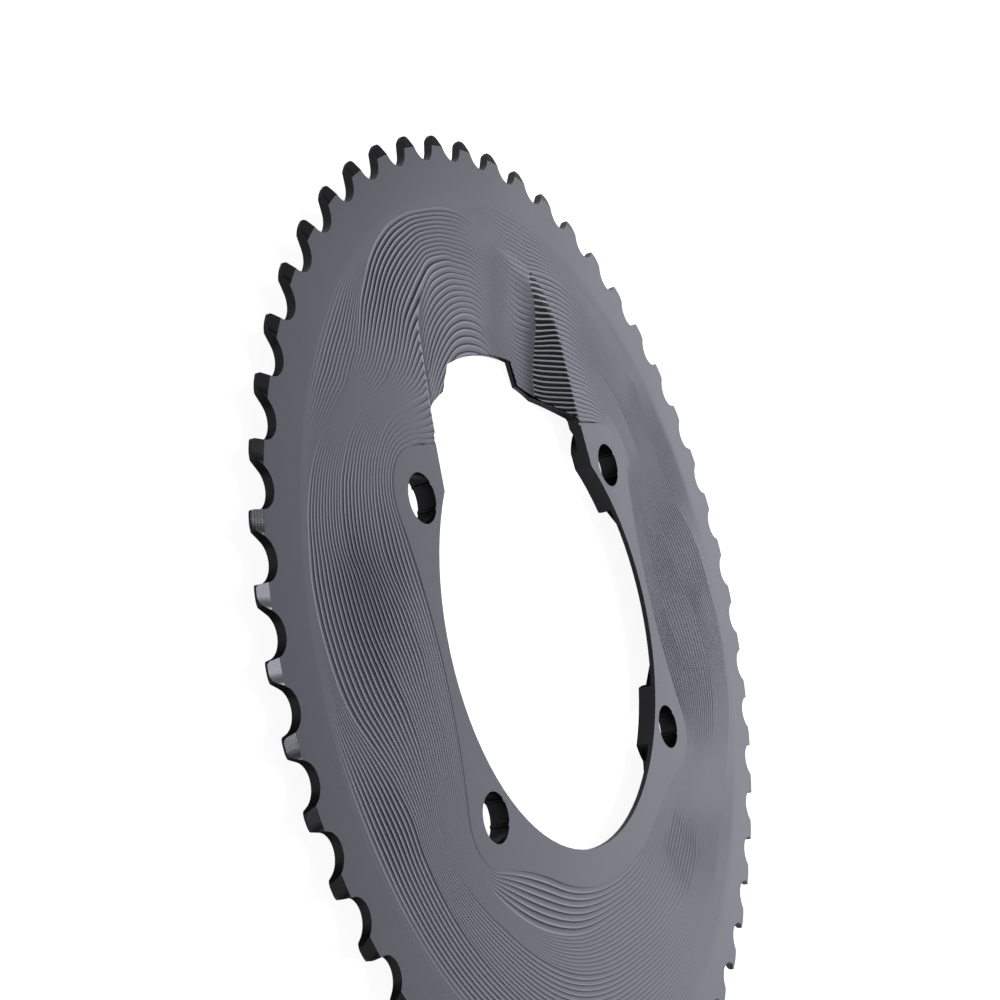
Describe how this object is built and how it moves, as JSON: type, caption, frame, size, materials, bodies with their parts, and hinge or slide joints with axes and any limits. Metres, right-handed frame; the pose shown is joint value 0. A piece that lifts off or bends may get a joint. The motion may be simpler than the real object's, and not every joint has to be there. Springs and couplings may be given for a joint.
{
  "type": "bicycle chainring",
  "caption": "One-piece road chainring with bevelled teeth, four bolt bosses, a crank arm recess and a wavy milled face.",
  "frame": {"origin": "crank axis at the flat front face, which is the centre of the bolt pattern", "axes": "+Z out of the front face along the crank axis, +Y towards the crank arm recess, +X to the right seen from the front"},
  "size_m": [0.2133, 0.2132, 0.0071],
  "materials": {
    "chainring": "satin anodised dark grey"
  },
  "bodies": {
    "root": {"chainring": "chainring"}
  },
  "joints": []
}
